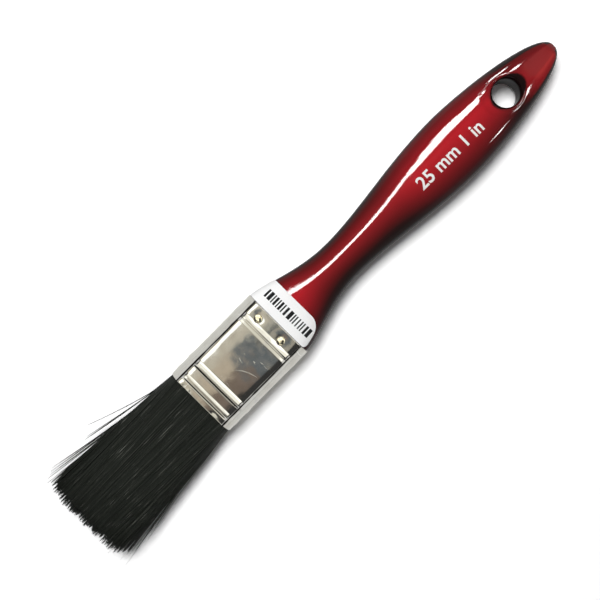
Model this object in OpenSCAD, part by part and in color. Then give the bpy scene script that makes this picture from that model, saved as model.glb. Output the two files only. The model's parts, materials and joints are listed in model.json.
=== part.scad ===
/* [Overall] */
// Bristle length out of the ferrule
bristle_out = 54.7; // [40:0.1:70]
// Ferrule length along the brush
ferrule_length = 35.2; // [34:0.1:45]
// Handle length beyond the ferrule
handle_out = 125.3; // [100:0.1:160]

/* [Ferrule] */
// Ferrule width across the brush
ferrule_width = 26; // [22:0.1:30]
// Ferrule thickness, front to back
ferrule_thick = 12.4; // [11:0.1:13.4]
// Radius of the rounded sides
side_radius = 8.5; // [7:0.1:10]
// Sheet thickness
sheet = 0.4; // [0.3:0.05:0.5]
// How far the pressed beads stand out
bead_rise = 0.35; // [0.2:0.05:0.4]
// Width of the folded seam along the back
seam_width = 3.2; // [2:0.1:5]
// How far the seam stands out from the back
seam_rise = 0.3; // [0.2:0.05:0.5]

/* [Nails] */
// Distance between the two nails of a face
nail_spacing = 10; // [7:0.1:12]
// Nail centre, measured from the ferrule's mouth
nail_place = 31.9; // [31.8:0.1:32.6]
// How far the pairs of nails stand off the middle
nail_shift = 0.6; // [-1:0.1:1]
// Diameter of the domed head
nail_head = 3; // [2:0.1:3]
// Height of the domed head
head_height = 0.6; // [0.4:0.05:0.8]
// Diameter of the shank
nail_shank = 1.2; // [0.8:0.1:1.6]
// Nail length under the head
nail_length = 5.2; // [4:0.1:5.5]

/* [Handle] */
// Width at the shoulder, where it leaves the ferrule
shoulder_width = 25.1; // [20:0.1:25.1]
// Width of the neck
neck_width = 14.1; // [11:0.1:18]
// Width of the belly
belly_width = 22.6; // [18:0.1:28]
// Thickness at the shoulder
shoulder_thick = 11.5; // [9:0.1:11.5]
// Thickness of the neck
neck_thick = 11; // [8:0.1:13]
// Thickness of the belly
belly_thick = 14; // [13.6:0.1:18]
// Neck distance beyond the ferrule
neck_place = 29.3; // [20:0.1:36]
// Belly distance beyond the ferrule
belly_place = 80.6; // [65:0.1:85]
// Length of the tang inside the ferrule
tang_length = 13; // [8:0.1:15]

/* [Hanging hole] */
// Radius of the hole
hole_radius = 4.5; // [3:0.1:5]
// Distance from the hole's centre to the handle's end
hole_inset = 22.7; // [18:0.1:28]
// Radius of the rounded rim
rim_radius = 3; // [1:0.1:3.5]
// Length of the hole's straight wall
hole_wall = 5.4; // [4:0.1:6]

/* [Bristles] */
// Width of the bristles at the tips
tip_width = 32; // [26:0.1:38]
// Thickness of the bristles at the tips
tip_thick = 8.6; // [5:0.1:10]
// Thickness of the bristles at the bending line
bend_thick = 10.4; // [8:0.1:10.6]
// Distance of the bending line in front of the ferrule
bend_place = 2; // [1.5:0.1:4]
// Thickness of the filler between the two banks
filler_thick = 2.4; // [1.5:0.1:4]

/* [Label] */
// Label width along the handle
label_width = 9; // [6:0.1:12]
// Label thickness
label_thick = 0.14; // [0.1:0.02:0.3]

/* [Hidden] */

// The brush lies along X: bristle tips at -X, handle end at +X, front face up.
tip_x = -(bristle_out + ferrule_length + handle_out) / 2;
mouth_x = tip_x + bristle_out;
rear_x = mouth_x + ferrule_length;
end_x = rear_x + handle_out;
hole_x = end_x - hole_inset;
bend_x = mouth_x - bend_place;
mid_z = belly_thick / 2;

inner_width = ferrule_width - 2 * sheet;
slip = 0.05;

// Beads of the ferrule: start and end from the mouth, and share of the full rise
BEADS = [[1.9, 2.6, -0.4], [2.8, 4.2, 0.9], [7.1, 7.6, -0.4], [7.9, 9.9, 1], [27.8, 30.2, 1]];

// Bristle knot inside the ferrule
roots_length = 17.6;
roots_end = mouth_x + roots_length;
filler_length = 11;
setting_depth = 3;
setting_collar = 0.8;
setting_end = rear_x - tang_length;
bend_gap = 0.25;

// Handle loft
ring_points = 48;
tail_sides = [1.5, 0.45];
tail_faces = [1.5, 0.8];
tip_thick_share = 0.34;
tip_round = 3;
end_gap = 0.01;
shoulder_squareness = 3.2;
neck_squareness = 2.15;
hole_squareness = 2.25;

// Places along the handle: where its loft starts inside the ferrule, and where its rings close up
loft_start = -1;
close_rings = 101;

// The label starts a little off the ferrule and runs between two ring points of the handle
label_gap = 0.1;
label_first = 0;
label_last = 20;

// ---- shared shapes ----

// Flat faces with bulging sides, as the tube is pressed: y across, z through
module ferrule_section(width, thick, radius) {
    intersection() {
        square([width, thick], center = true);
        union() {
            square([width - 2 * radius, thick], center = true);
            for (side = [-1, 1])
                translate([side * (width / 2 - radius), 0]) circle(r = radius, $fn = 96);
        }
    }
}

// Prism of that section from x0 to x1; grow moves its wall outward
module section_prism(x0, x1, grow) {
    translate([x0, 0, mid_z]) rotate([90, 0, 90]) linear_extrude(x1 - x0)
        ferrule_section(ferrule_width + 2 * grow, ferrule_thick + 2 * grow, side_radius + grow);
}

// Solid through a list of rings that have equal numbers of points.
// A banded ring runs out along one side and back along the other, and its ends close in short strips.
module loft(rings, banded = false) {
    count = len(rings[0]);
    last = len(rings) - 1;
    end_faces = banded ? [for (i = [0:count / 2 - 2]) [i, i + 1, count - 2 - i, count - 1 - i]]
        : [[for (i = [0:count - 1]) i]];
    polyhedron(
        points = [for (ring = rings) each ring],
        faces = concat(
            end_faces,
            [for (k = [0:last - 1]) for (i = [0:count - 1])
                [k * count + i, (k + 1) * count + i, k * count + (i + 1) % count]],
            [for (k = [0:last - 1]) for (i = [0:count - 1])
                [k * count + (i + 1) % count, (k + 1) * count + i, (k + 1) * count + (i + 1) % count]],
            [for (face = end_faces) [for (i = [len(face) - 1:-1:0]) last * count + face[i]]]
        )
    );
}

function power(value, exponent) = sign(value) * pow(abs(value), exponent);

// Slow start and slow end between 0 and 1
function ease(t, bias) = (1 - cos(180 * pow(t, bias))) / 2;

// Ring point of a superellipse; square_ness 2 is an ellipse
function ring_point(x, half_y, half_z, square_ness, angle) = [
    x,
    half_y * power(cos(angle), 2 / square_ness),
    mid_z + half_z * power(sin(angle), 2 / square_ness)
];

// ---- handle ----

// Half size at distance s beyond the ferrule, from shoulder to neck, belly and end
function handle_half(s, shoulder, neck, belly, tail) =
    s < neck_place ? neck + (shoulder - neck) * (1 - ease(s / neck_place, 0.75))
    : s < belly_place ? neck + (belly - neck) * ease((s - neck_place) / (belly_place - neck_place), 0.9)
    : belly * pow(max(0, 1 - pow((s - belly_place) / (handle_out - belly_place), tail[0])), tail[1]);

function handle_half_width(s) =
    handle_half(s, shoulder_width / 2, neck_width / 2, belly_width / 2, tail_sides);

// The end keeps some thickness, so the tip is a blunt edge and not a point
function handle_half_thick(s) =
    s < belly_place ? handle_half(s, shoulder_thick / 2, neck_thick / 2, belly_thick / 2, tail_faces)
    : belly_thick / 2 * (tip_thick_share + (1 - tip_thick_share)
        * pow(max(0, 1 - pow((s - belly_place) / (handle_out - belly_place), tail_faces[0])), tail_faces[1]))
        * pow(min(1, (handle_out - s) / tip_round), 0.4);

// Boxy at the ferrule, close to an ellipse at the neck, a little fuller round the hole
function handle_squareness(s) =
    s < neck_place
    ? shoulder_squareness + (neck_squareness - shoulder_squareness) * ease(s / neck_place, 0.5)
    : neck_squareness + (hole_squareness - neck_squareness)
        * ease(min(1, (s - neck_place) / (handle_out - hole_inset - neck_place)), 1.5);

function handle_ring(s, grow) = [
    for (i = [0:ring_points - 1])
        ring_point(rear_x + s, handle_half_width(max(0, s)) + grow, handle_half_thick(max(0, s)) + grow,
            handle_squareness(max(0, s)), 360 * i / ring_points)
];

// Stations close up towards the handle's end, where it rounds off fastest
HANDLE_STATIONS = concat(
    [for (s = [loft_start:2.5:close_rings - 1]) s],
    [for (t = [0:1 / 16:0.95]) close_rings + (handle_out - close_rings) * sin(90 * t)],
    [handle_out - end_gap]
);

// Cutter for the hanging hole: a straight wall that opens into a rounded rim at both faces
module hanging_hole() {
    translate([hole_x, 0, mid_z]) {
        cylinder(h = 2 * belly_thick, r = hole_radius, center = true, $fn = 64);
        for (face = [0, 180])
            rotate([face, 0, 0]) translate([0, 0, hole_wall / 2]) rotate_extrude($fn = 64)
                difference() {
                    square([hole_radius + rim_radius, belly_thick / 2]);
                    translate([hole_radius + rim_radius, 0]) circle(r = rim_radius, $fn = 48);
                }
    }
}

module handle() {
    color("firebrick") difference() {
        union() {
            loft([for (s = HANDLE_STATIONS) handle_ring(s, 0)]);
            section_prism(setting_end, rear_x - 0.5, -sheet - slip);
        }
        hanging_hole();
        each_nail_place() nail_hole(nail_shank / 2);
    }
}

// ---- ferrule and its nails ----

module bead_prisms(grow, shrink) {
    for (bead = BEADS) if (bead[2] > 0)
        section_prism(mouth_x + bead[0] + shrink, mouth_x + bead[1] - shrink, bead[2] * bead_rise + grow);
}

// Ring cut that presses a groove into the outside of the tube
module groove_rings() {
    for (bead = BEADS) if (bead[2] < 0) difference() {
        section_prism(mouth_x + bead[0], mouth_x + bead[1], 1);
        section_prism(mouth_x + bead[0] - 1, mouth_x + bead[1] + 1, bead[2] * bead_rise);
    }
}

module ferrule() {
    color("silver") difference() {
        union() {
            section_prism(mouth_x, rear_x, 0);
            bead_prisms(0, 0);
            translate([mouth_x, -seam_width / 2, mid_z - ferrule_thick / 2 - seam_rise])
                cube([ferrule_length, seam_width, 2 * seam_rise]);
        }
        section_prism(mouth_x - 1, rear_x + 1, -sheet);
        bead_prisms(-sheet, 0.3);
        groove_rings();
        each_nail_place() nail_hole(nail_shank / 2 + slip);
    }
}

// Children stand at the nail place of one face and side, pointing out of the face
module at_nail(face, side) {
    translate([mouth_x + nail_place, side * nail_spacing / 2 + nail_shift, mid_z])
        rotate([face > 0 ? 0 : 180, 0, 0]) translate([0, 0, ferrule_thick / 2]) children();
}

module each_nail_place() {
    for (face = [-1, 1]) for (side = [-1, 1]) at_nail(face, side) children();
}

module nail_hole(radius) {
    translate([0, 0, -nail_length - slip]) cylinder(h = nail_length + 2, r = radius, $fn = 32);
}

module nail(face, side) {
    dome_radius = (pow(nail_head / 2, 2) + pow(head_height, 2)) / (2 * head_height);
    point = 1.2;
    color("gold") at_nail(face, side) {
        intersection() {
            translate([0, 0, head_height - dome_radius]) sphere(r = dome_radius, $fn = 48);
            cylinder(h = 2 * head_height, r = nail_head, $fn = 48);
        }
        translate([0, 0, point - nail_length])
            cylinder(h = nail_length - point + 0.1, r = nail_shank / 2, $fn = 32);
        translate([0, 0, -nail_length])
            cylinder(h = point, r1 = 0.1, r2 = nail_shank / 2, $fn = 32);
    }
}

// ---- bristle knot inside the ferrule ----

module filler_shape(grow) {
    translate([roots_end - filler_length, -inner_width / 2 + 2 - grow, mid_z - filler_thick / 2 - grow])
        cube([filler_length + grow, inner_width - 4 + 2 * grow, filler_thick + 2 * grow]);
}

module filler_strip() {
    color("burlywood") filler_shape(0);
}

// One bank of set bristle; its end is hollowed where the free length turns
module bristle_roots(face) {
    color("dimgray") difference() {
        union() {
            section_prism(mouth_x, roots_end - setting_depth, -sheet - slip);
            section_prism(mouth_x, roots_end, -sheet - setting_collar - slip);
        }
        translate([mouth_x - 1, -ferrule_width, mid_z - (face > 0 ? ferrule_thick : 0)])
            cube([ferrule_length, 2 * ferrule_width, ferrule_thick]);
        filler_shape(slip);
        translate([bend_x, 0, mid_z]) rotate([90, 0, 0])
            cylinder(h = 2 * ferrule_width, r = bend_thick / 2 + bend_gap, center = true, $fn = 96);
    }
}

// Resin block that holds the butt ends of both banks and of the filler
module bristle_setting() {
    color("goldenrod") difference() {
        section_prism(roots_end - setting_depth, setting_end, -sheet - slip);
        section_prism(mouth_x, roots_end, -sheet - setting_collar);
    }
}

// ---- free length of the bristles ----

// D-shaped ring of one bank, flat on the side that faces the other bank
function bank_ring(face, x, half_y, inner, outer) = [
    for (i = [0:24]) let (angle = 7.5 * i + (face > 0 ? 0 : 180)) [
        x,
        half_y * power(cos(angle), 2 / 3),
        mid_z + face * (inner + (outer - inner) * pow(abs(sin(angle)), 2 / 3))
    ]
];

// The banks part round the filler at the mouth and meet towards the tips
function bank_inner(out) = 0.05 + (filler_thick / 2 - 0.2) * pow(max(0, 1 - out / 18), 1.5);

function bank_half_width(out) =
    let (root = inner_width / 2 - 1.4)
    root + (tip_width / 2 - root) * pow(out / (bristle_out - bend_place), 0.75);

function bank_outer(out) =
    bend_thick / 2 + (tip_thick - bend_thick) / 2 * pow(out / (bristle_out - bend_place), 1.6);

// The rolled root end is a round bar about the bending line
module free_bristles(face) {
    free_length = bristle_out - bend_place;
    root_angle = asin((bank_inner(0) + 0.4) / (bend_thick / 2));
    color("black") loft(concat(
        [for (t = [1:-1 / 12:0]) let (out = free_length * t)
            bank_ring(face, bend_x - out, bank_half_width(out), bank_inner(out), bank_outer(out))],
        [for (t = [1 / 6:1 / 6:1]) let (angle = 90 - (90 - root_angle) * t)
            bank_ring(face, bend_x + bend_thick / 2 * cos(angle), bank_half_width(0),
                bank_inner(0), bend_thick / 2 * sin(angle))]
    ));
}

// ---- label ----

// Thin strip over the front of the handle and round one side, square along its edges
module stock_label() {
    color("white") loft([
        for (k = [0:8])
            let (s = label_gap + label_width * k / 8)
            let (inside = handle_ring(s, slip), outside = handle_ring(s, slip + label_thick))
            concat([for (i = [label_first:label_last]) outside[i]],
                [for (i = [label_last:-1:label_first]) inside[i]])
    ], banded = true);
}

handle();
ferrule();
nail(1, -1);  // front_nail_left
nail(1, 1);  // front_nail_right
nail(-1, -1);  // back_nail_left
nail(-1, 1);  // back_nail_right
bristle_setting();
filler_strip();
bristle_roots(1);  // front_bristle_roots
bristle_roots(-1);  // back_bristle_roots
free_bristles(1);  // front_bristles
free_bristles(-1);  // back_bristles
stock_label();
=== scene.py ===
"""Looks of a 25 mm flat paint brush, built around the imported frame, in millimetres until a mesh is made."""

import json
import math

import bmesh
import bpy
import numpy as np
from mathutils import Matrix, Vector, noise


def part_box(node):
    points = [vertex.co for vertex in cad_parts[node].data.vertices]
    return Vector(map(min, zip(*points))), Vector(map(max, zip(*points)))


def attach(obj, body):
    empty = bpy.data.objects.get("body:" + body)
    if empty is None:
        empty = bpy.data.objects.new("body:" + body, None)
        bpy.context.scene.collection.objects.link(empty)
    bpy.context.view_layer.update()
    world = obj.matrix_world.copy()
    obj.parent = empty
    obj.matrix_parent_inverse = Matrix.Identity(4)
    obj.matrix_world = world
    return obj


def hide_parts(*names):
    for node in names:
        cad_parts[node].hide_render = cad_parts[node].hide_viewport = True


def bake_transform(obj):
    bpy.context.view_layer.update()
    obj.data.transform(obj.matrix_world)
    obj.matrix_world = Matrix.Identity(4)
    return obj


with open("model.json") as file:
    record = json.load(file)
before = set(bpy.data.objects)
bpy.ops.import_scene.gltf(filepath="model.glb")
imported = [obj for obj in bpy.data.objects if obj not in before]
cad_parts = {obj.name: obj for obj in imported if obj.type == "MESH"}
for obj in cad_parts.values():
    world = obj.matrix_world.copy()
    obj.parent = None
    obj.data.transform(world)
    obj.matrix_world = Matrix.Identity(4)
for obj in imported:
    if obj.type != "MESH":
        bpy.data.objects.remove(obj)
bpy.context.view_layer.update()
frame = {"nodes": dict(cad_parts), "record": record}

MM = 0.001
HANDLE_BODY = "handle_and_ferrule"


def box_mm(node):
    """Lowest and highest corner of a CAD node, in millimetres."""
    low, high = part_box(node)
    return np.array(low) / MM, np.array(high) / MM


# ---- places, all from the frame ----

FERRULE_LOW, FERRULE_HIGH = box_mm("ferrule")
HANDLE_LOW, HANDLE_HIGH = box_mm("handle")
MOUTH_X, REAR_X = FERRULE_LOW[0], FERRULE_HIGH[0]
TANG_X, END_X = HANDLE_LOW[0], HANDLE_HIGH[0]
TIP_X = box_mm("front_bristles")[0][0]
MID_Z = (HANDLE_LOW[2] + HANDLE_HIGH[2]) / 2
HOLE_MOUNT = frame["record"]["mounts"][0]
HOLE_X = HOLE_MOUNT["pos_m"][0] / MM
HOLE_RADIUS = HOLE_MOUNT["dims"]["r_mm"]
HOLE_WALL = HOLE_MOUNT["dims"]["length_mm"]
END_S = END_X - REAR_X
HOLE_S = HOLE_X - REAR_X
FRONT_NAILS = ("front_nail_left", "front_nail_right")
BACK_NAILS = ("back_nail_left", "back_nail_right")
NAIL_LOW, NAIL_HIGH = box_mm("front_nail_left")
NAIL_FROM_MOUTH = (NAIL_LOW[0] + NAIL_HIGH[0]) / 2 - MOUTH_X
NAIL_HEAD = (NAIL_HIGH[0] - NAIL_LOW[0]) / 2
NAIL_SIDES = [(box_mm(node)[0][1] + box_mm(node)[1][1]) / 2 for node in FRONT_NAILS]

# ---- sizes that the boxes don't tell ----

# Handle: half width and half thickness at the shoulder, the neck and the belly
SHOULDER, NECK, BELLY = (12.55, 5.75), (7.05, 5.5), (11.3, 7.0)
NECK_S, BELLY_S = 29.3, 80.6
SHOULDER_N, NECK_N, HOLE_N = 3.2, 2.15, 2.25
TAIL_BEND, TAIL_SIDES, TAIL_FACES = 1.5, 0.45, 0.8
TIP_THICK_SHARE, TIP_ROUND = 0.34, 3
RIM_RADIUS = 3.0
RIM_GRID_REACH = 12.0
FACET_START, FACET_BLEND, FACET_CUT = 4, 6, 0.22

# Ferrule section, its pressed beads and its dents. Each bead has a foot, a top, a crest, a far foot and a
# pinched line, measured from the mouth, and a height.
SHEET = 0.4
FERRULE_HALF_WIDTH = 13.0
FERRULE_HALF_THICK = 6.35
CREASE_Y = 10.0
PANEL_ROLL, ROLL_DROP, CREASE_DROP = 2.0, 0.10, 0.10
SIDE_BULGE = 2.7
CREASE_HEIGHT = FERRULE_HALF_THICK - ROLL_DROP - CREASE_DROP
PANEL_CROWN = 0.25
BEAD_PINCH, PINCH_REACH = 0.05, 0.14
BEAD_SIDE_SHARE = 0.45
CREASE_WOBBLE = 0.07
# Painted shade runs in the groove at this distance from the mouth
GROOVE_SHADE_FROM_MOUTH = 7.45
LIP_DENT, LIP_DENT_SIDES = 0.13, (6.3, -6.1)
NAIL_DENT, NAIL_DENT_REACH = 0.13, 2.2
SEAM_HALF_WIDTH, SEAM_RISE = 1.6, 0.25
BEADS = [
    (1.8, 2.9, 3.2, 4.3, 3.05, 0.25),
    (7.1, 8.0, 8.05, 9.9, 7.15, 0.42),
    (27.2, 28.6, 29.0, 30.7, 28.9, 0.28),
]

# Bristles: half width and half thickness of the knot at the ferrule and at the tips, which are wider at -Y
ROOT_SIZE = (12.35, 5.6)
ROOT_RADIUS = 8.1
TIP_SIZE = (15.9, 4.3)
TIP_EXTRA = 0.9
TUFT_PITCH = 1.0
HAIR_RADIUS, LOOSE_RADIUS = 0.12, 0.15

# Label: start and end beyond the ferrule, and its far ends round the handle as ring angles
LABEL_S = (0.1, 9.1)
LABEL_ANGLES = (2.0, 150.0)
LABEL_BOTTOM, LABEL_TOP = 0.05, 0.18

# How far printed ink stands off the lacquer and off the label
MARK_LIFT, BAR_LIFT = 0.025, 0.02

# Height of the level lights that the lacquer, the metal and the nails mirror
LEVEL_HEIGHT = 600

rng = np.random.default_rng(25)


# ---- small tools ----

def smooth_step(t):
    """0 below 0, 1 above 1 and a soft ramp between."""
    t = np.clip(t, 0, 1)
    return t * t * (3 - 2 * t)


def smooth_min(a, b, width):
    """The lower of two heights, with the corner between them rounded."""
    overlap = np.clip(width - np.abs(a - b), 0, None) / width
    return np.minimum(a, b) - overlap ** 2 * width / 4


def ease(t, bias):
    """Slow start and slow end between 0 and 1."""
    return (1 - np.cos(np.pi * np.clip(t, 0, 1) ** bias)) / 2


def ripple(x, y, z):
    """Smooth unevenness between -1 and 1."""
    return noise.noise(Vector((x, y, z)))


class Patches:
    """Grids of points that are merged into one mesh along their shared edges."""

    def __init__(self):
        self.points = []
        self.faces = []

    def add(self, grid, wrap=False):
        """Quads over a rows x columns x 3 array; wrap joins the last column to the first."""
        grid = np.asarray(grid)
        rows, columns = grid.shape[:2]
        first = len(self.points)
        self.points.extend(grid.reshape(-1, 3))
        for i in range(rows - 1):
            for j in range(columns if wrap else columns - 1):
                near = first + i * columns
                k = (j + 1) % columns
                self.faces.append((near + j, near + k, near + columns + k, near + columns + j))

    def cap(self, ring):
        """One face over a ring of points."""
        first = len(self.points)
        self.points.extend(ring)
        self.faces.append(tuple(range(first, first + len(ring))))


def in_scene(name, data):
    """A new object with that data, linked to the scene."""
    made = bpy.data.objects.new(name, data)
    bpy.context.scene.collection.objects.link(made)
    return made


def build(name, points, faces, material, merge=False):
    """A smooth mesh object from millimetre points."""
    mesh = bpy.data.meshes.new(name)
    mesh.from_pydata((np.asarray(points) * MM).tolist(), [], faces)
    if merge:
        work = bmesh.new()
        work.from_mesh(mesh)
        bmesh.ops.remove_doubles(work, verts=work.verts, dist=0.001 * MM)
        bmesh.ops.recalc_face_normals(work, faces=work.faces)
        work.to_mesh(mesh)
        work.free()
    mesh.shade_smooth()
    mesh.materials.append(material)
    return in_scene(name, mesh)


def build_patches(name, patches, material, merge=True):
    """A mesh object from patches, by default merged along their shared edges."""
    return build(name, patches.points, patches.faces, material, merge)


def points_of(piece):
    """A piece's points in millimetres, as an array."""
    flat = np.zeros(len(piece.data.vertices) * 3)
    piece.data.vertices.foreach_get("co", flat)
    return flat.reshape(-1, 3) / MM


def store(piece, name, values):
    """A number for each point, which the materials read."""
    layer = piece.data.attributes.new(name, "FLOAT", "POINT")
    layer.data.foreach_set("value", np.asarray(values, np.float32))


def shade_node(tree, kind, inputs=None, **settings):
    """A shader node with its sockets set or linked."""
    made = tree.nodes.new(kind)
    for key, value in settings.items():
        setattr(made, key, value)
    for socket, value in (inputs or {}).items():
        if isinstance(value, bpy.types.NodeSocket):
            tree.links.new(value, made.inputs[socket])
        else:
            made.inputs[socket].default_value = value
    return made


def new_material(name, **constants):
    """A Principled material; returns it with its node tree and shader."""
    material = bpy.data.materials.new(name)
    material.use_nodes = True
    tree = material.node_tree
    tree.nodes.clear()
    shader = shade_node(tree, "ShaderNodeBsdfPrincipled")
    output = shade_node(tree, "ShaderNodeOutputMaterial")
    tree.links.new(shader.outputs["BSDF"], output.inputs["Surface"])
    for socket, value in constants.items():
        shader.inputs[socket.replace("_", " ")].default_value = value
    return material, tree, shader


def wire(tree, shader, colour, roughness, normal=None):
    """Link the sockets of a shader that every material varies."""
    for socket, value in (("Base Color", colour), ("Roughness", roughness), ("Normal", normal)):
        if value is not None:
            tree.links.new(value, shader.inputs[socket])


def position(tree, scale=(1, 1, 1)):
    """The point on the piece, stretched by a scale for each axis."""
    place = shade_node(tree, "ShaderNodeTexCoord").outputs["Object"]
    return shade_node(tree, "ShaderNodeMapping", {"Vector": place, "Scale": scale}).outputs["Vector"]


def noise_value(tree, vector, scale, detail=3.0, roughness=0.5, distortion=0.0):
    """Grey noise between 0 and 1."""
    inputs = {"Vector": vector, "Scale": scale, "Detail": detail, "Roughness": roughness,
              "Distortion": distortion}
    return shade_node(tree, "ShaderNodeTexNoise", inputs).outputs["Fac"]


def attribute(tree, name):
    """The number that store() gave each point."""
    return shade_node(tree, "ShaderNodeAttribute", attribute_name=name).outputs["Fac"]


def maths(tree, operation, *values):
    """One arithmetic step on numbers or sockets."""
    made = shade_node(tree, "ShaderNodeMath", dict(enumerate(values)), operation=operation)
    return made.outputs["Value"]


def ramp(tree, value, stops, smooth=True):
    """Colour by value: stops are (place, colour)."""
    made = shade_node(tree, "ShaderNodeValToRGB", {"Fac": value})
    made.color_ramp.interpolation = "EASE" if smooth else "LINEAR"
    elements = made.color_ramp.elements
    while len(elements) < len(stops):
        elements.new(1.0)
    for element, (place, colour) in zip(elements, stops):
        element.position = place
        element.color = (*colour, 1)
    return made.outputs["Color"]


def between(tree, value, low, high, start=0.0, end=1.0):
    """Value mapped from low..high to start..end and kept there."""
    inputs = {"Value": value, "From Min": low, "From Max": high, "To Min": start, "To Max": end}
    return shade_node(tree, "ShaderNodeMapRange", inputs).outputs["Result"]


def mix(tree, share, first, second, blend_type="MIX"):
    """Two colours mixed."""
    first, second = (colour if isinstance(colour, bpy.types.NodeSocket) else (*colour, 1)
                     for colour in (first, second))
    inputs = {0: share, 6: first, 7: second}
    return shade_node(tree, "ShaderNodeMix", inputs, data_type="RGBA", blend_type=blend_type).outputs[2]


def bump(tree, height, distance, strength=1.0, under=None):
    """A normal that follows a height in millimetres."""
    inputs = {"Height": height, "Distance": distance * MM, "Strength": strength}
    if under is not None:
        inputs["Normal"] = under
    return shade_node(tree, "ShaderNodeBump", inputs).outputs["Normal"]


# ---- materials ----

def mottled(name, stretch, detail, stops, dull, span=(0.2, 0.8), relief=0.0, swirl=0.0, **constants):
    """A material whose colour, roughness and fine relief all follow one noise."""
    material, tree, shader = new_material(name, **constants)
    grain = noise_value(tree, position(tree, stretch), 1.0, detail, 0.6, swirl)
    normal = bump(tree, grain, relief) if relief else None
    wire(tree, shader, ramp(tree, grain, stops), between(tree, grain, *span, *dull), normal)
    return material


def lacquer():
    """Deep red gloss, near black at both sides (a sprayed edge and painted shade), painted light on the
    belly, painted shade in the hole, duller on the ground facet.
    """
    material, tree, shader = new_material("red_lacquer", IOR=1.33)
    cloud = noise_value(tree, position(tree, (60, 160, 160)), 1.0, 2.0)
    # Painted light and shade over a dark sprayed edge: the sides fade to near black, brightest a little off
    # the middle
    sunburst_and_painted_shading = maths(tree, "ADD", attribute(tree, "sunburst_and_painted_shading"), maths(tree, "MULTIPLY_ADD", cloud, 0.16, -0.08))
    paint = ramp(tree, maths(tree, "MULTIPLY_ADD", sunburst_and_painted_shading, 0.55, 0.165), [
        (0.0, (0.75, 0.05, 0.052)),
        (0.165, (0.48, 0.017, 0.024)),
        (0.41, (0.315, 0.014, 0.019)),
        (0.55, (0.21, 0.012, 0.015)),
        (0.64, (0.15, 0.0115, 0.0135)),
        (0.73, (0.095, 0.012, 0.0135)),
        (0.79, (0.054, 0.0125, 0.0135)),
        (0.89, (0.032, 0.0125, 0.0135)),
    ], smooth=False)
    # Painted light: darker and less red at the narrow neck, full colour towards the wide belly
    depth = ramp(tree, attribute(tree, "painted_belly_light"), [(0.0, (0.64, 0.90, 0.80)), (1.0, (1.0, 1.0, 1.0))])
    paint = mix(tree, 1.0, paint, depth, "MULTIPLY")
    facet = attribute(tree, "facet")
    paint = mix(tree, maths(tree, "MULTIPLY", facet, 0.7), paint, (0.27, 0.022, 0.022))
    # Painted shade: near black down in the hanging hole
    paint = mix(tree, attribute(tree, "painted_hole_shade"), paint, (0.012, 0.005, 0.005))
    grain = noise_value(tree, position(tree), 2200, 3.0, 0.6)
    gloss = maths(tree, "MULTIPLY_ADD", facet, 0.2, 0.02)
    peel = noise_value(tree, position(tree), 1300, 2.0, 0.5)
    wire(tree, shader, paint, maths(tree, "MULTIPLY_ADD", grain, 0.05, gloss), bump(tree, peel, 0.006))
    return material


def plate():
    """Tin plate: bright, a little warm and wavy, with rolling marks, curved scratches, and painted shade
    along the creases and in the groove by the mouth.
    """
    material, tree, shader = new_material("ferrule_plate", Metallic=1.0)
    place = position(tree)
    blotch = noise_value(tree, place, 160, 4.0, 0.55)
    colour = ramp(tree, blotch, [
        (0.3, (0.60, 0.585, 0.54)),
        (0.55, (0.66, 0.65, 0.61)),
        (0.75, (0.58, 0.575, 0.56)),
    ])
    path = noise_value(tree, place, 110, 0.0, 0.5, 0.4)
    line = between(tree, maths(tree, "ABSOLUTE", maths(tree, "SUBTRACT", path, 0.5)), 0.0, 0.0035, 1.0, 0.0)
    where = between(tree, noise_value(tree, place, 210, 2.0), 0.56, 0.62)
    scratch = maths(tree, "MULTIPLY", line, where)
    colour = mix(tree, scratch, colour, (0.92, 0.91, 0.87))
    # Painted shade: near black along the folded creases and in the groove by the mouth
    crease_shade_share = between(tree, attribute(tree, "painted_crease_shade"), 0.30, 0.62)
    colour = mix(tree, crease_shade_share, colour, (0.016, 0.015, 0.012))
    rolled = noise_value(tree, position(tree, (300, 4000, 300)), 1.0, 3.0, 0.6)
    rubbed = noise_value(tree, place, 420, 5.0, 0.7, 1.5)
    roughness = maths(tree, "MULTIPLY_ADD", rolled, 0.05, maths(tree, "MULTIPLY_ADD", rubbed, 0.07, 0.02))
    roughness = maths(tree, "MULTIPLY_ADD", scratch, 0.35, roughness)
    roughness = maths(tree, "MULTIPLY_ADD", crease_shade_share, 0.4, roughness)
    wavy = bump(tree, noise_value(tree, place, 190, 1.0), 0.05)
    wire(tree, shader, colour, roughness, bump(tree, rubbed, 0.004, 1.0, wavy))
    return material


def brass():
    """Brassy plated nail heads, darker in the pits."""
    stops = [(0.3, (0.62, 0.55, 0.38)), (0.55, (0.88, 0.84, 0.70))]
    fine = (1400, 1400, 1400)
    return mottled("nail_brass", fine, 3.0, stops, (0.20, 0.08), (0.3, 0.7), 0.02, Metallic=1.0)


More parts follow.
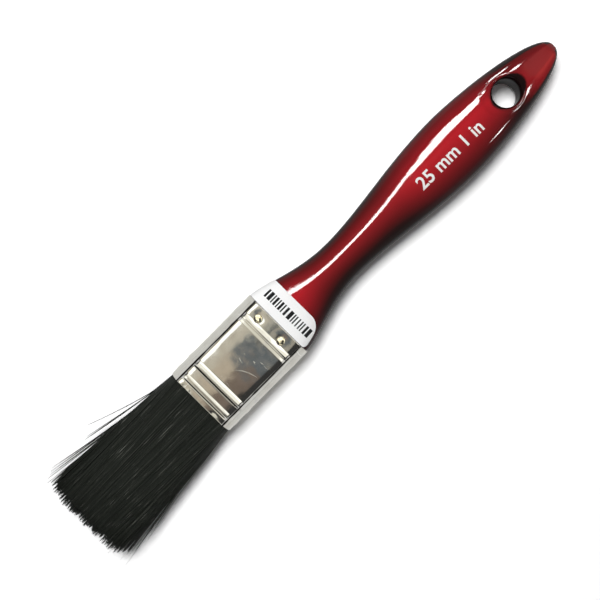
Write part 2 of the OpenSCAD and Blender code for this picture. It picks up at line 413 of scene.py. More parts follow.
def bristle(name, lighter):
    """Black bristle with strand to strand variation and a few short painted glints."""
    material, tree, shader = new_material(name, Specular_IOR_Level=0.45)
    tone = attribute(tree, "tone")
    streaks = noise_value(tree, position(tree, (60, 5200, 5200)), 1.0, 2.0)
    value = maths(tree, "ADD", tone, maths(tree, "MULTIPLY_ADD", streaks, 0.5, -0.25))
    colour = ramp(tree, value, [
        (0.0, (0.015, 0.017, 0.014)),
        (0.6, (0.026 * lighter, 0.029 * lighter, 0.024 * lighter)),
        (1.0, (0.06 * lighter, 0.063 * lighter, 0.052 * lighter)),
    ])
    # Painted highlight: short bright glints on the lighter strands
    painted_glint_spots = noise_value(tree, position(tree, (130, 3400, 3400)), 1.0, 1.0)
    painted_glint = maths(tree, "MULTIPLY", between(tree, painted_glint_spots, 0.65, 0.73), between(tree, tone, 0.35, 0.6))
    colour = mix(tree, painted_glint, colour, (0.20, 0.205, 0.18))
    wire(tree, shader, colour, between(tree, streaks, 0.2, 0.8, 0.42, 0.30))
    return material


def paper():
    """Smooth coated label paper with faint fibres."""
    stops = [(0.25, (0.95, 0.95, 0.945)), (0.7, (0.99, 0.99, 0.99))]
    fibres = (1400, 2600, 1400)
    return mottled("label_paper", fibres, 4.0, stops, (0.62, 0.45), relief=0.006, Specular_IOR_Level=0.35)


def ink(name, thin, full, roughness):
    """Printed ink that lies a little unevenly."""
    stops = [(0.3, thin), (0.5, full)]
    return mottled(name, (2600, 2600, 2600), 4.0, stops, (roughness + 0.1, roughness))


def inner(name, dark, light, stretch, roughness):
    """Grained or mottled material of a piece inside the ferrule."""
    stops = [(0.3, dark), (0.7, light)]
    return mottled(name, stretch, 5.0, stops, (roughness + 0.12, roughness), relief=0.03, swirl=0.6)


# ---- handle ----

def handle_half(s, thickness):
    """Half width, or half thickness, of the handle at s beyond the ferrule."""
    shoulder, neck, belly = SHOULDER[thickness], NECK[thickness], BELLY[thickness]
    s = np.clip(s, 0, END_S)
    waist = neck + (shoulder - neck) * (1 - ease(s / NECK_S, 0.75))
    swell = neck + (belly - neck) * ease((s - NECK_S) / (BELLY_S - NECK_S), 0.9)
    t = np.clip((s - BELLY_S) / (END_S - BELLY_S), 0, 1)
    if thickness:
        share = TIP_THICK_SHARE + (1 - TIP_THICK_SHARE) * (1 - t ** TAIL_BEND) ** TAIL_FACES
        tail = belly * share * np.minimum(1, (END_S - s) / TIP_ROUND) ** 0.4
    else:
        tail = belly * (1 - t ** TAIL_BEND) ** TAIL_SIDES
    return np.where(s < NECK_S, waist, np.where(s < BELLY_S, swell, tail))


def handle_squareness(s):
    """Exponent of the handle's section: 2 is an ellipse, more is boxier."""
    waist = SHOULDER_N + (NECK_N - SHOULDER_N) * ease(s / NECK_S, 0.5)
    swell = NECK_N + (HOLE_N - NECK_N) * ease((s - NECK_S) / (HOLE_S - NECK_S), 1.5)
    return np.where(s < NECK_S, waist, swell)


def handle_ring(s, angles, lift=0.0):
    """Points round the handle at s for ring angles in degrees; lift stands off the surface."""
    n = handle_squareness(s)
    co, si = np.cos(np.radians(angles)), np.sin(np.radians(angles))
    y = (handle_half(s, 0) + lift) * np.sign(co) * np.abs(co) ** (2 / n)
    z = (handle_half(s, 1) + lift) * np.sign(si) * np.abs(si) ** (2 / n)
    return np.stack([np.full_like(y, REAR_X + s), y, MID_Z + z], axis=-1)


def crown_height(s, y):
    """Height of the handle's face over its middle plane, without the hanging hole."""
    n = handle_squareness(s)
    share = np.clip(np.abs(y) / np.maximum(handle_half(s, 0), 1e-6), 0, 1)
    return handle_half(s, 1) * (1 - share ** n) ** (1 / n)


def facet_height(s):
    """The ground facet near the end lies a little under the crown, and out of reach before it starts."""
    clear = 1
    drop = (clear + FACET_CUT) * smooth_step((s - HOLE_S - FACET_START) / FACET_BLEND)
    return handle_half(s, 1) + clear - drop


def face_height(s, y):
    """Height of the handle's face over its middle plane, with the facet and the hole's rounded rim."""
    r = np.hypot(s - HOLE_S, y)
    inward = np.clip(1 - (r - HOLE_RADIUS) / RIM_RADIUS, 0, 1)
    beyond = np.clip(r - HOLE_RADIUS - RIM_RADIUS, 0, None)
    rim = HOLE_WALL / 2 + RIM_RADIUS * np.sqrt(1 - inward ** 2) + 0.25 * beyond ** 2
    facet_corner, rim_corner = 0.16, 0.5
    face = smooth_min(crown_height(s, y), facet_height(s), facet_corner)
    return smooth_min(face, rim, rim_corner)


def hole_grid():
    """Plan of the face round the hole: rows from the wall outwards, columns round the hole."""
    start_steps, side_steps, rim_rows, face_rows = 65, 56, 10, 14
    start = HOLE_S - RIM_GRID_REACH
    across = handle_ring(start, np.linspace(0, 180, start_steps))[:, 1]
    along = start + (END_S - start) * np.sin(np.linspace(0, np.pi / 2, side_steps + 1))[1:]
    half = handle_half(along, 0)
    outline_s = np.concatenate([np.full(start_steps, start), along, along[-2::-1]])
    outline_y = np.concatenate([across, -half, half[-2::-1]])
    angle = np.arctan2(outline_y, outline_s - HOLE_S)
    reach = np.hypot(outline_y, outline_s - HOLE_S)
    top = HOLE_RADIUS + RIM_RADIUS
    turn = np.linspace(0, np.pi / 2, rim_rows + 1)
    rows = [np.full_like(reach, HOLE_RADIUS + RIM_RADIUS * (1 - math.cos(a))) for a in turn]
    for m in range(1, face_rows + 1):
        rows.append(top + (reach - top) * (1 - (1 - m / face_rows) ** 2))
    r = np.array(rows)
    return HOLE_S + r * np.cos(angle), r * np.sin(angle)


def make_handle(material):
    """The turned and pierced handle with its tang, in one closed mesh."""
    patches = Patches()
    angles = np.linspace(0, 360, 128, endpoint=False)
    tang = np.linspace(TANG_X - REAR_X, -0.4, 8)
    body = np.linspace(0, HOLE_S - RIM_GRID_REACH, 78)
    rings = [handle_ring(s, angles) for s in np.concatenate([tang, body])]
    patches.add(rings, wrap=True)
    patches.cap(rings[0])
    s, y = hole_grid()
    height = face_height(s, y)
    height[0] = HOLE_WALL / 2
    for side in (1, -1):
        patches.add(np.stack([REAR_X + s, y, MID_Z + side * height], axis=-1), wrap=True)
    wall = [np.stack([REAR_X + s[0], y[0], np.full_like(y[0], MID_Z + z)], axis=-1)
            for z in np.linspace(HOLE_WALL / 2, -HOLE_WALL / 2, 7)]
    patches.add(wall, wrap=True)
    piece = build_patches("red_handle", patches, material)
    paint_handle(piece)
    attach(piece, HANDLE_BODY)
    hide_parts("handle")
    return piece


def paint_handle(piece):
    """Numbers for the lacquer: painted light on the belly, the dark sides with their painted light and shade,
    the ground facet and the painted shade in the hole.
    """
    x, y, _ = points_of(piece).T
    s = x - REAR_X
    half = handle_half(s, 0)
    # Painted light: 0 at the neck's width, 1 at the belly's; the colour brightens with it and the bright
    # middle widens
    painted_belly_light = smooth_step((half - NECK[0]) / (BELLY[0] - NECK[0])) ** np.where(s > NECK_S, 2, 0.8)
    store(piece, "painted_belly_light", painted_belly_light)
    tail = smooth_step((s - HOLE_S + 1) / 14)
    across = y / np.maximum(half, 0.5)
    # Painted light and shade: the brightest line runs a little off the middle, towards +Y at the belly and
    # towards -Y at the end, the lower side near the end is painted lighter, and the dark sides are partly a
    # sprayed edge and partly painted shade
    offset = across - 0.2 + 0.35 * tail
    reach = np.where(offset > 0, 0.60 + 0.10 * painted_belly_light, 0.70 + 0.23 * painted_belly_light)
    painted_light_low_side = 0.5 * tail * smooth_step((-across - 0.1) / 0.4)
    sunburst_and_painted_shading = np.abs(offset) / (reach + (1.1 - reach) * tail) - painted_light_low_side
    # Painted shade as well as a sprayed edge: the tail's edges and its very end are darkened further, and the
    # tang inside the ferrule is near black
    dark_edge = 1.3 * tail * smooth_step((np.abs(across) - 0.74) / 0.14)
    sunburst_and_painted_shading += dark_edge + 1.4 * smooth_step((s - END_S + 2.8) / 1.6)
    store(piece, "sunburst_and_painted_shading", np.where(s < 0.3, 1.5, sunburst_and_painted_shading))
    sunk = crown_height(s, y) - facet_height(s)
    store(piece, "facet", smooth_step(sunk / 0.1 + 0.3) * smooth_step((s - HOLE_S - 6) / 3))
    # Painted shade: near black in and around the hanging hole, reaching further towards the end
    beyond = np.clip((s - HOLE_S) / HOLE_RADIUS, 0, 1)
    hole_shade_distance = np.hypot((s - HOLE_S) / (HOLE_RADIUS + 2.0 + 0.9 * beyond), y / (HOLE_RADIUS + 0.5))
    store(piece, "painted_hole_shade", smooth_step((1 - hole_shade_distance) / 0.08))


def make_size_mark(material):
    """The size printed along the belly, laid on the curved face."""
    letters = bpy.data.curves.new("size_mark", "FONT")
    letters.body = "25 mm 1 in"
    letters.size = 5.9
    letters.offset = 0.11
    letters.space_character = 1.02
    letters.resolution_u = 6
    flat = in_scene("size_mark_flat", letters)
    bpy.context.view_layer.update()
    mesh = bpy.data.meshes.new_from_object(flat.evaluated_get(bpy.context.evaluated_depsgraph_get()))
    bpy.data.objects.remove(flat)
    work = bmesh.new()
    work.from_mesh(mesh)
    bmesh.ops.triangulate(work, faces=work.faces)
    longest_edge = 0.6
    for _ in range(4):
        long_edges = [edge for edge in work.edges if edge.calc_length() > longest_edge]
        bmesh.ops.subdivide_edges(work, edges=long_edges, cuts=1)
        bmesh.ops.triangulate(work, faces=work.faces)
    left = min(v.co.x for v in work.verts)
    start_s, baseline_y = 61.7, -3.0
    for v in work.verts:
        s, y = start_s + v.co.x - left, baseline_y + v.co.y
        height = float(face_height(np.array(s), np.array(y)))
        v.co = Vector((REAR_X + s, y, MID_Z + height + MARK_LIFT)) * MM
    work.to_mesh(mesh)
    work.free()
    mesh.shade_smooth()
    mesh.materials.clear()
    mesh.materials.append(material)
    piece = in_scene("size_mark", mesh)
    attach(piece, HANDLE_BODY)


# ---- label ----

def over_handle(s, turns, lift):
    """Points on the handle at s, for distances round the ring from the crown, positive towards +Y."""
    angles = np.linspace(-20, 200, 881)
    ring = handle_ring(s, angles, lift)
    steps = np.hypot(*np.diff(ring[:, 1:], axis=0).T)
    length = np.concatenate([[0], np.cumsum(steps)])
    distance = np.interp(90, angles, length) - length
    order = np.argsort(distance)
    y = np.interp(turns, distance[order], ring[order, 1])
    z = np.interp(turns, distance[order], ring[order, 2])
    return np.stack([np.full_like(y, REAR_X + s), y, z], axis=-1)


def ring_distance(s, angle):
    """Distance round the ring from the crown to a ring angle, positive towards +Y."""
    ring = handle_ring(s, np.linspace(angle, 90, 400))
    return math.copysign(np.hypot(*np.diff(ring[:, 1:], axis=0).T).sum(), 90 - angle)


def corner(distance, radius):
    """How far a rounded corner cuts in at a distance from the edge."""
    inside = np.clip(radius - distance, 0, radius)
    return radius - math.sqrt(radius ** 2 - inside ** 2)


def make_label(material):
    """A strip of label paper over the front of the handle, wrapped down one side, with rounded corners."""
    start, end = LABEL_S
    stations = start + (end - start) * (1 - np.cos(np.linspace(0, np.pi, 31))) / 2
    # Corner radii at the neck's and at the ferrule's side, for both far ends of the strip
    neck_radii, ferrule_radii = (2.0, 4.0), (1.0, 1.6)
    top_rows, bottom_rows = [], []
    for s in stations:
        cut = [max(corner(end - s, a), corner(s - start, b)) for a, b in zip(neck_radii, ferrule_radii)]
        far = ring_distance(s, LABEL_ANGLES[1]) + cut[1]
        near = ring_distance(s, LABEL_ANGLES[0]) - cut[0]
        share = (1 - np.cos(np.linspace(0, np.pi, 71))) / 2
        turns = near + (far - near) * share
        curl = 0.05 * smooth_step(1 - (turns - far) / 1.5) + 0.04 * smooth_step((s - end + 0.8) / 0.8)
        top = over_handle(s, turns, LABEL_TOP)
        top[:, 2] += curl
        bottom = over_handle(s, turns, LABEL_BOTTOM)
        bottom[:, 2] += curl * 0.8
        top_rows.append(top)
        bottom_rows.append(bottom)
    top, bottom = np.array(top_rows), np.array(bottom_rows)
    patches = Patches()
    patches.add(top)
    patches.add(bottom)
    for edge in (np.s_[0], np.s_[-1], np.s_[:, 0], np.s_[:, -1]):
        patches.add([top[edge], bottom[edge]])
    piece = build_patches("stock_label_paper", patches, material)
    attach(piece, HANDLE_BODY)
    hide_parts("stock_label")


def make_label_bars(material):
    """A row of plain bars across the label."""
    patches = Patches()
    low_s, high_s = 3.0, 6.0
    turn, last_turn = 9.7, -9.4
    bar_widths, gap_widths = [0.45, 0.8, 1.25], [0.45, 0.7]
    while turn > last_turn:
        width = rng.choice(bar_widths)
        turns = np.linspace(turn, turn - width, 5)
        rows = [over_handle(s, turns, LABEL_TOP + BAR_LIFT) for s in np.linspace(low_s, high_s, 7)]
        patches.add(rows)
        turn -= width + rng.choice(gap_widths)
    piece = build_patches("label_bars", patches, material, merge=False)
    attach(piece, HANDLE_BODY)


# ---- ferrule and nails ----

def front_section():
    """Half section over the front face, from +Y to -Y: across, height over the middle plane."""
    crease_z = CREASE_HEIGHT - PANEL_CROWN
    side_z = crease_z * np.sin(np.linspace(0, np.pi / 2, 18))[:-1]
    side_y = FERRULE_HALF_WIDTH - (FERRULE_HALF_WIDTH - CREASE_Y) * (side_z / crease_z) ** SIDE_BULGE
    side = list(zip(side_y, side_z))
    spread = np.sin(np.linspace(np.pi / 2, -np.pi / 2, 61))
    flat_y = CREASE_Y * spread
    rolled = np.clip((np.abs(flat_y) - CREASE_Y + PANEL_ROLL) / PANEL_ROLL, 0, 1)
    flat_z = FERRULE_HALF_THICK - ROLL_DROP * rolled ** 2 - CREASE_DROP * rolled ** 10
    flat_z -= PANEL_CROWN * (flat_y / CREASE_Y) ** 2
    flat = list(zip(flat_y, flat_z))
    return np.array(side + flat + [(-y, z) for y, z in reversed(side)])


def full_section():
    """Closed section of the ferrule's outside, with outward normals."""
    front = front_section()
    back = front[-2:0:-1] * np.array([1, -1])
    outline = np.concatenate([front, back])
    ahead, behind = np.roll(outline, -1, axis=0), np.roll(outline, 1, axis=0)
    along = ahead - behind
    normal = np.stack([along[:, 1], -along[:, 0]], axis=1)
    return outline, normal / np.linalg.norm(normal, axis=1, keepdims=True)


def bead_rise(x):
    """Height of the pressed beads at x from the mouth, each with a fine pinched groove."""
    rise = 0.0
    for start, top, crest, end, pinch, height in BEADS:
        front = float(smooth_step((x - start) / (top - start)))
        rear = min(max((x - crest) / (end - crest), 0.0), 1.0)
        rise += height * front * (1 - rear ** 1.35)
        rise -= BEAD_PINCH * math.exp(-((x - pinch) / PINCH_REACH) ** 2)
    return rise


def dents(x, y, face):
    """Unevenness of the thin sheet, with two dents in its mouth, in millimetres."""
    low = ripple(x / 9, y / 9, 3.7 * face)
    high = ripple(x / 3.2, y / 3.2, 9.1 * face)
    lip = sum(LIP_DENT * math.exp(-x ** 2 - ((y - side) / 1.5) ** 2) for side in LIP_DENT_SIDES)
    return 0.022 * low + 0.006 * high - lip


def ferrule_wall(x, inset):
    """Ring of the ferrule at x from the mouth; inset moves it inwards."""
    outline, normal = full_section()
    points = np.zeros((len(outline), 3))
    for i, ((y, z), (ny, nz)) in enumerate(zip(outline, normal)):
        flat = 1 - smooth_step((abs(y) - CREASE_Y + 0.9) / 1.6)
        out = bead_rise(x) * (BEAD_SIDE_SHARE + (1 - BEAD_SIDE_SHARE) * flat) - inset
        out += dents(x, y, math.copysign(1, z)) * flat
        for nail_y in NAIL_SIDES:
            apart = (x - NAIL_FROM_MOUTH) ** 2 + (y - nail_y) ** 2
            out -= NAIL_DENT * math.exp(-apart / NAIL_DENT_REACH ** 2) * flat
        if z < 0 and inset == 0:
            out += SEAM_RISE * float(smooth_step((SEAM_HALF_WIDTH + 0.15 - abs(y)) / 0.3))
        near_crease = math.exp(-((abs(y) - CREASE_Y) / 0.8) ** 2)
        wobble = CREASE_WOBBLE * ripple(x / 7, 7.7 * ny, 1.5) * near_crease
        points[i] = (MOUTH_X + x, y + wobble + ny * out, MID_Z + z + nz * out)
    return points


def make_ferrule(material):
    """The beaded sheet sleeve: outside, rolled lips and inside."""
    length = REAR_X - MOUTH_X
    lip = SHEET / 2
    stations = np.linspace(lip, length - lip, 221)
    turn = np.linspace(0, np.pi, 7)[1:-1]
    mouth_lip = [ferrule_wall(lip - lip * math.sin(a), lip - lip * math.cos(a)) for a in turn]
    rear_lip = [ferrule_wall(length - lip + lip * math.sin(a), lip - lip * math.cos(a)) for a in turn]
    inside = [ferrule_wall(x, SHEET) for x in stations[::5]]
    inside[-1] = ferrule_wall(stations[-1], SHEET)
    outside = [ferrule_wall(x, 0) for x in stations]
    rings = outside[::-1] + mouth_lip + inside + rear_lip[::-1] + [outside[-1]]
    patches = Patches()
    patches.add(rings, wrap=True)
    piece = build_patches("ferrule_sleeve", patches, material)
    x, y, z = points_of(piece).T
    outer = np.abs(z - MID_Z) > CREASE_HEIGHT - PANEL_CROWN - 0.5
    waver = np.array([ripple(place / 2.5, side, 6.6) for place, side in zip(x, np.sign(y))])
    width = 0.26 + 0.14 * waver
    # Painted shade along both creases, and in the groove at the foot of the second bead
    painted_crease_shade = np.exp(-((np.abs(y) - CREASE_Y - 0.06) / width) ** 2)
    on_panel = smooth_step((CREASE_Y - np.abs(y)) / 1.5)
    groove = np.exp(-((x - MOUTH_X - GROOVE_SHADE_FROM_MOUTH) / 0.2) ** 2) * on_panel
    store(piece, "painted_crease_shade", outer * np.maximum(painted_crease_shade, groove))
    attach(piece, HANDLE_BODY)
    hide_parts("ferrule")
    return piece


def make_scratches(material):
    """A few fine scratches over the front panel, drawn as low ridges that catch the light."""
    # Start along and across, heading and bend in degrees, and length
    marks = [
        (-38.4, 0.2, -42, -40, 8.8),
        (-33.8, 1.2, -120, 30, 2.2),
        (-31.6, -2.6, -80, -50, 1.6),
        (-30.2, -4.6, -100, 40, 1.3),
        (-26.2, -1.2, -15, 20, 1.6),
    ]
    steps, half_width, rise, sunk = 25, 0.13, 0.035, 0.008
    patches = Patches()
    for x, y, heading, bend, length in marks:
        rows = []
        for share in np.linspace(0, 1, steps):
            turn = math.radians(heading + bend * share)
            thick = math.sin(math.pi * min(max(share, 0.04), 0.96)) ** 0.5
            level = MID_Z + FERRULE_HALF_THICK - PANEL_CROWN * (y / CREASE_Y) ** 2
            level += bead_rise(x - MOUTH_X) + dents(x - MOUTH_X, y, 1)
            side_x, side_y = -half_width * thick * math.sin(turn), half_width * thick * math.cos(turn)
            rows.append([
                (x - side_x, y - side_y, level - sunk),
                (x, y, level + rise * thick),
                (x + side_x, y + side_y, level - sunk),
            ])
            x += length / steps * math.cos(turn)
            y += length / steps * math.sin(turn)
        patches.add(rows)
    piece = build_patches("panel_scratches", patches, material, merge=False)
    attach(piece, HANDLE_BODY)
    return piece


def make_nail(node, material):
    """A domed tack with a hammered, slightly flattened head and a pointed shank."""
    low, high = box_mm(node)
    centre = (low + high) / 2
    front = centre[2] > MID_Z
    dome = 0.6
    profile = [(NAIL_HEAD * share, dome * (1 - share ** 2.6) ** 0.6) for share in np.linspace(0, 1, 13)]
    profile += [(NAIL_HEAD * 0.98, -0.08), (0.62, -0.1), (0.6, -4.0), (0.35, -4.6), (0.02, -5.15)]
    around = np.linspace(0, 2 * np.pi, 48, endpoint=False)
    rings = []
    for radius, height in profile:
        ring = np.zeros((len(around), 3))
        for k, a in enumerate(around):
            x, y = centre[0] + radius * math.cos(a), centre[1] + radius * math.sin(a)
            hammered = 0.09 * ripple(x * 0.9, y * 0.9, 2.0 + centre[2])
            level = FERRULE_HALF_THICK + height + hammered * min(1, max(height, 0) / 0.2)
            ring[k] = (x, y, MID_Z + (level if front else -level))
        rings.append(ring)
    patches = Patches()
    patches.add(rings, wrap=True)
    patches.cap(rings[-1])
    piece = build_patches(node + "_tack", patches, material)
    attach(piece, HANDLE_BODY)
    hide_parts(node)
    return piece


# ---- bristles ----

def root_reach(angle):
    """Distance from the middle to the inside of the ferrule, for an angle across the section."""
    centre = ROOT_SIZE[0] - ROOT_RADIUS
    flat = ROOT_SIZE[1] / np.maximum(np.abs(np.sin(angle)), 1e-6)
    round_side = centre * np.abs(np.cos(angle)) + np.sqrt(ROOT_RADIUS ** 2 - (centre * np.sin(angle)) ** 2)
    return np.minimum(flat, round_side)


def tip_reach(angle):
    """The same at the tips, where the knot is a wide soft oval."""
    n = 2.7
    wide = TIP_SIZE[0] + TIP_EXTRA * (np.cos(angle) < 0)
    return (np.abs(np.cos(angle) / wide) ** n + np.abs(np.sin(angle) / TIP_SIZE[1]) ** n) ** (-1 / n)


def knot_point(angle, depth, out, spread=0.0):
    """Across and height of a strand at a share of the way out; depth runs from the surface inwards."""
    root = root_reach(angle) * (1 - depth)
    tip = tip_reach(angle) * (1 - depth)
    y = np.cos(angle) * (root + (tip - root) * out)
    z = np.sin(angle) * (root + (tip - root) * out ** 1.6)
    return y * (1 + spread * out ** 2), z


def strands(lines, radii, tones):
    """Three-sided tapering hairs along centre lines: points, faces and tones."""
    count, steps = lines.shape[:2]
    around = np.radians([90, 210, 330])
    ring = np.stack([np.zeros(3), np.cos(around), np.sin(around)], axis=1)
    points = lines[:, :, None, :] + radii[:, :, None, None] * ring[None, None]
    first = (np.arange(count) * steps * 3)[:, None, None] + (np.arange(steps - 1) * 3)[None, :, None]
    side, after = np.arange(3), (np.arange(3) + 1) % 3
    quads = np.stack([first + side, first + 3 + side, first + 3 + after, first + after], axis=-1)
    faces = quads.reshape(-1, 4).tolist()
    starts = np.arange(count) * steps * 3
    faces += [(i, i + 1, i + 2) for i in starts]
    faces += [(i + 2, i + 1, i) for i in starts + (steps - 1) * 3]
    return points.reshape(-1, 3), faces, np.repeat(tones, steps * 3)


def surface_angles(count, front):
    """Angles that space strands evenly round one bank of the knot."""
    fine = np.linspace(0.0, np.pi, 721)
    reach = (root_reach(fine) + tip_reach(fine)) / 2
    steps = np.hypot(np.diff(reach * np.cos(fine)), np.diff(reach * np.sin(fine)))
    length = np.concatenate([[0], np.cumsum(steps)])
    angles = np.interp(rng.uniform(0, length[-1], count), length, fine)
    return angles if front else -angles


def tufts(angle, depth):
    """How far sideways each hair's tip is drawn to its tuft, and where the hair ends: in ragged points."""
    across = np.cos(angle) * tip_reach(angle) * (1 - depth)
    place = across / TUFT_PITCH + 0.6 * np.array([ripple(y * 0.6, 2.2, 4.4) for y in across])
    nearest = np.round(place)
    off_middle = place - nearest
    bow = 1.3 * np.clip((np.abs(across) - 12.0) / 4.5, 0, 1) ** 2
    uneven = np.array([ripple(n * 1.7, d, 8.1) for n, d in zip(nearest, depth)])
    point = 1.7 * (2 * np.abs(off_middle)) ** 1.3
    end_x = TIP_X + 0.8 + bow + 1.5 * np.clip(uneven + 0.35, 0, 1) + point
    return -0.75 * off_middle * TUFT_PITCH, end_x + rng.gamma(1.3, 0.2, len(angle))


def hair_lines(angle, depth, pull, start, end_x, steps, wander, spread):
    """Centre lines from a share of the way out to the tips, with a little waywardness."""
    share = start + (1 - start) * np.linspace(0, 1, steps)[None, :]
    count = len(angle)
    y, z = knot_point(angle[:, None], depth[:, None], share, spread[:, None])
    phase = rng.uniform(0, 2 * np.pi, (count, 1))
    sway = wander[:, None] * share ** 1.5
    y = y + sway * np.sin(2.2 * share + phase) + pull[:, None] * share ** 9
    z = z + sway * 0.45 * np.cos(2.6 * share + phase)
    root_x = MOUTH_X + 1.6
    x = root_x + (end_x[:, None] - root_x) * share
    return np.stack([x, y, MID_Z + z], axis=-1)


def taper(count, steps, thick, start=0.0):
    """Radius along each hair, from full to a fine flagged tip."""
    share = start + (1 - start) * np.linspace(0, 1, steps)[None, :]
    width = rng.uniform(0.85, 1.15, (count, 1)) * thick
    return width * (1 - 0.75 * share ** 5)


def make_bank(name, node, front, material):
    """One bank of bristle: long hairs over its surface and shorter ones that fill the tip."""
    long_count, long_steps = 2100, 11
    tip_count, tip_steps, tip_start = 2300, 6, 0.6
    angle = surface_angles(long_count, front)
    depth = rng.beta(1.1, 3.0, long_count) * 0.3
    pull, end_x = tufts(angle, depth)
    outer = strands(
        hair_lines(angle, depth, pull, 0.0, end_x, long_steps,
                   rng.exponential(0.13, long_count), rng.normal(0, 0.003, long_count)),
        taper(long_count, long_steps, HAIR_RADIUS),
        np.clip(rng.normal(0.42, 0.16, long_count) + (rng.random(long_count) > 0.985) * 0.5, 0, 1),
    )
    deep_angle = surface_angles(tip_count, front)
    deep = 1 - np.sqrt(rng.uniform(0, 1, tip_count))
    pull, end_x = tufts(deep_angle, deep)
    inner_hairs = strands(
        hair_lines(deep_angle, deep * 0.9 + 0.1, pull, tip_start, end_x, tip_steps,
                   rng.exponential(0.2, tip_count), rng.normal(0, 0.006, tip_count)),
        taper(tip_count, tip_steps, HAIR_RADIUS, tip_start),
        np.clip(rng.normal(0.32, 0.15, tip_count), 0, 1),
    )
    shift = len(outer[0])
    points = np.concatenate([outer[0], inner_hairs[0]])
    faces = outer[1] + [tuple(i + shift for i in face) for face in inner_hairs[1]]
    piece = build(name, points, faces, material)
    store(piece, "tone", np.concatenate([outer[2], inner_hairs[2]]))
    finish_bristles(piece)
    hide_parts(node)


def make_strays(material):
    """Loose hairs off both edges of the knot: a few long ones at +Y, a fuzzy fringe of them at -Y."""
    # Where a hair leaves the knot and where it ends, from the mouth, and how far out it gets
    loose = [
        (9, 31, 4.8),
        (10, 34, 2.6),
        (10, 35, 2.2),
        (18, 49, 3.3),
        (19, 50, 2.9),
        (23, 51, 2.2),
        (24, 52, 1.8),
        (28, 53, 1.1),
    ]
    few, fringe = 2 * len(loose), 60
    count, steps = few + fringe, 15
    plus = np.arange(count) < few
    angle = np.where(plus, 0.0, np.pi) + rng.normal(0, np.where(plus, 0.05, 0.25))
    release, ends, lift = (np.repeat(column, 2) + rng.normal(0, 0.06, few) for column in zip(*loose))
    release = np.concatenate([release, rng.uniform(3, 38, fringe)])
    ends = np.concatenate([ends, MOUTH_X - TIP_X - rng.gamma(1.6, 4.0, fringe)])
    ends = np.clip(ends, 25, MOUTH_X - TIP_X)
    free_length = np.maximum(ends - release, 1)
    slope = np.concatenate([lift / free_length[:few], rng.gamma(2.0, 0.018, fringe)])
    still = np.zeros(count)
    end_x = MOUTH_X - ends
    lines = hair_lines(angle, still + 0.01, still, 0.0, end_x, steps, np.full(count, 0.12), still)
    free = np.clip(MOUTH_X - lines[:, :, 0] - release[:, None], 0, None)
    bowed = free * (0.7 + 0.3 * free / free_length[:, None])
    lines[:, :, 1] += np.where(plus, 1, -1)[:, None] * slope[:, None] * bowed
    points, faces, tones = strands(lines, taper(count, steps, LOOSE_RADIUS), rng.uniform(0.0, 0.5, count))
    piece = build("stray_bristles", points, faces, material)
    store(piece, "tone", tones)
    finish_bristles(piece)


def make_core(material):
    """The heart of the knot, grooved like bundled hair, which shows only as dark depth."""
    around = np.linspace(0, 2 * np.pi, 220, endpoint=False)
    shares = np.linspace(0, 0.93, 26)
    groove = np.array([ripple(math.cos(a) * 60, math.sin(a) * 60, 1.0) for a in around])
    rings = []
    for share in shares:
        y, z = knot_point(around, 0.07 + 0.02 * groove, share)
        x = MOUTH_X + 1.4 + (TIP_X - MOUTH_X - 1.4) * share
        rings.append(np.stack([np.full_like(y, x), y, MID_Z + z], axis=-1))
    patches = Patches()
    patches.add(rings, wrap=True)
    patches.cap(rings[0])
    patches.cap(rings[-1])
    piece = build_patches("bristle_core", patches, material)
    # Painted shade: a darker tone than the hairs, for the shaded inside of the knot
    store(piece, "tone", np.full(len(piece.data.vertices), 0.2))
    finish_bristles(piece)


def finish_bristles(piece):
    """Bristle pieces get their placement baked into their points."""
    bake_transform(piece)


# ---- stage ----

def direction(azimuth, tilt):
    """Unit vector for an azimuth from +X towards +Y and a tilt from straight up, in degrees."""
    a, t = math.radians(azimuth), math.radians(tilt)
    return Vector((math.sin(t) * math.cos(a), math.sin(t) * math.sin(a), math.cos(t)))


def camera_ray(tree):
    """1 where the camera looks straight at the stage, 0 for light and reflections."""
    return shade_node(tree, "ShaderNodeLightPath").outputs["Is Camera Ray"]


def make_floor():
    """A plain white sweep: over white for the camera, dimmer in reflections, plain white far out."""
    half = 2.5
    near, far_out = 0.18, 0.55
    corners = [(-half, -half), (half, -half), (half, half), (-half, half)]
    mesh = bpy.data.meshes.new("floor")
    mesh.from_pydata([(x, y, 0.0) for x, y in corners], [], [(0, 1, 2, 3)])
    material, tree, shader = new_material("white_floor", Roughness=0.9, Specular_IOR_Level=0.0)
    fleck = noise_value(tree, position(tree), 30, 2.0)
    dim = ramp(tree, fleck, [(0.3, (0.44, 0.44, 0.44)), (0.7, (0.46, 0.46, 0.46))])
    seen = mix(tree, camera_ray(tree), dim, (1.25, 1.25, 1.25))
    length = shade_node(tree, "ShaderNodeVectorMath", {0: position(tree)}, operation="LENGTH")
    reach = between(tree, length.outputs["Value"], near, far_out)
    far = maths(tree, "MULTIPLY", reach, camera_ray(tree))
    tree.links.new(mix(tree, far, seen, (0, 0, 0)), shader.inputs["Base Color"])
    tree.links.new(far, shader.inputs["Emission Strength"])
    shader.inputs["Emission Color"].default_value = (1, 1, 1, 1)
    mesh.materials.append(material)
    floor = in_scene("floor", mesh)


